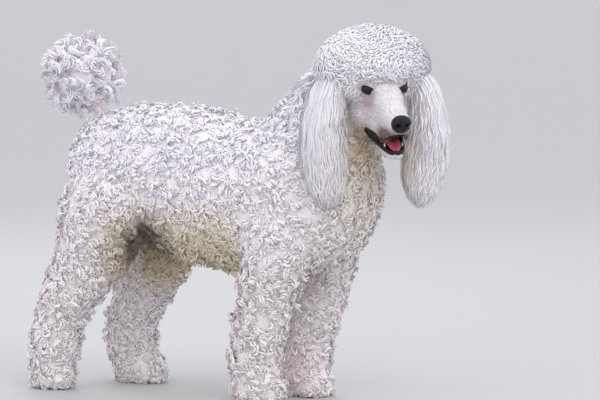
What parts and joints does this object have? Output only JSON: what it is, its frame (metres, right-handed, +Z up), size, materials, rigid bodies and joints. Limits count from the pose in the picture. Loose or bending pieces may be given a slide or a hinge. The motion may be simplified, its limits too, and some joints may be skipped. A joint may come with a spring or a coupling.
{
  "type": "standard poodle",
  "caption": "Life-size still model of a white standard poodle standing square, head turned to its right, mouth open, with a curly coat, long ears and a round tail tuft.",
  "frame": {"origin": "middle of the model's footprint box, on the floor", "axes": "+Z up; -Y the way the dog's body faces; +X to the dog's left"},
  "size_m": [0.319, 0.942, 0.7837],
  "materials": {
    "coat": "dense soft white curls with a faint lilac tint",
    "leg_coat": "dense soft white curls, a little longer than on the body",
    "shaved_skin": "close-clipped pale pink skin with short white hair",
    "jaw": "short white hair over the chin, wet black lips, pink gums and ivory teeth",
    "nose": "moist black pebbled skin",
    "tongue": "wet pink, finely pimpled",
    "eyes": "glossy dark brown with a clear wet surface"
  },
  "bodies": {
    "root": {"torso": "coat", "neck": "coat", "head": "coat", "ear_right": "coat", "ear_left": "coat", "tail_pompon": "coat", "fore_right_leg": "leg_coat", "fore_right_paw": "leg_coat", "fore_left_leg": "leg_coat", "fore_left_paw": "leg_coat", "hind_right_thigh": "leg_coat", "hind_right_shank": "leg_coat", "hind_right_paw": "leg_coat", "hind_left_thigh": "leg_coat", "hind_left_shank": "leg_coat", "hind_left_paw": "leg_coat", "tail": "shaved_skin", "jaw": "jaw", "nose": "nose", "tongue": "tongue", "eye_right": "eyes", "eye_left": "eyes"}
  },
  "joints": []
}
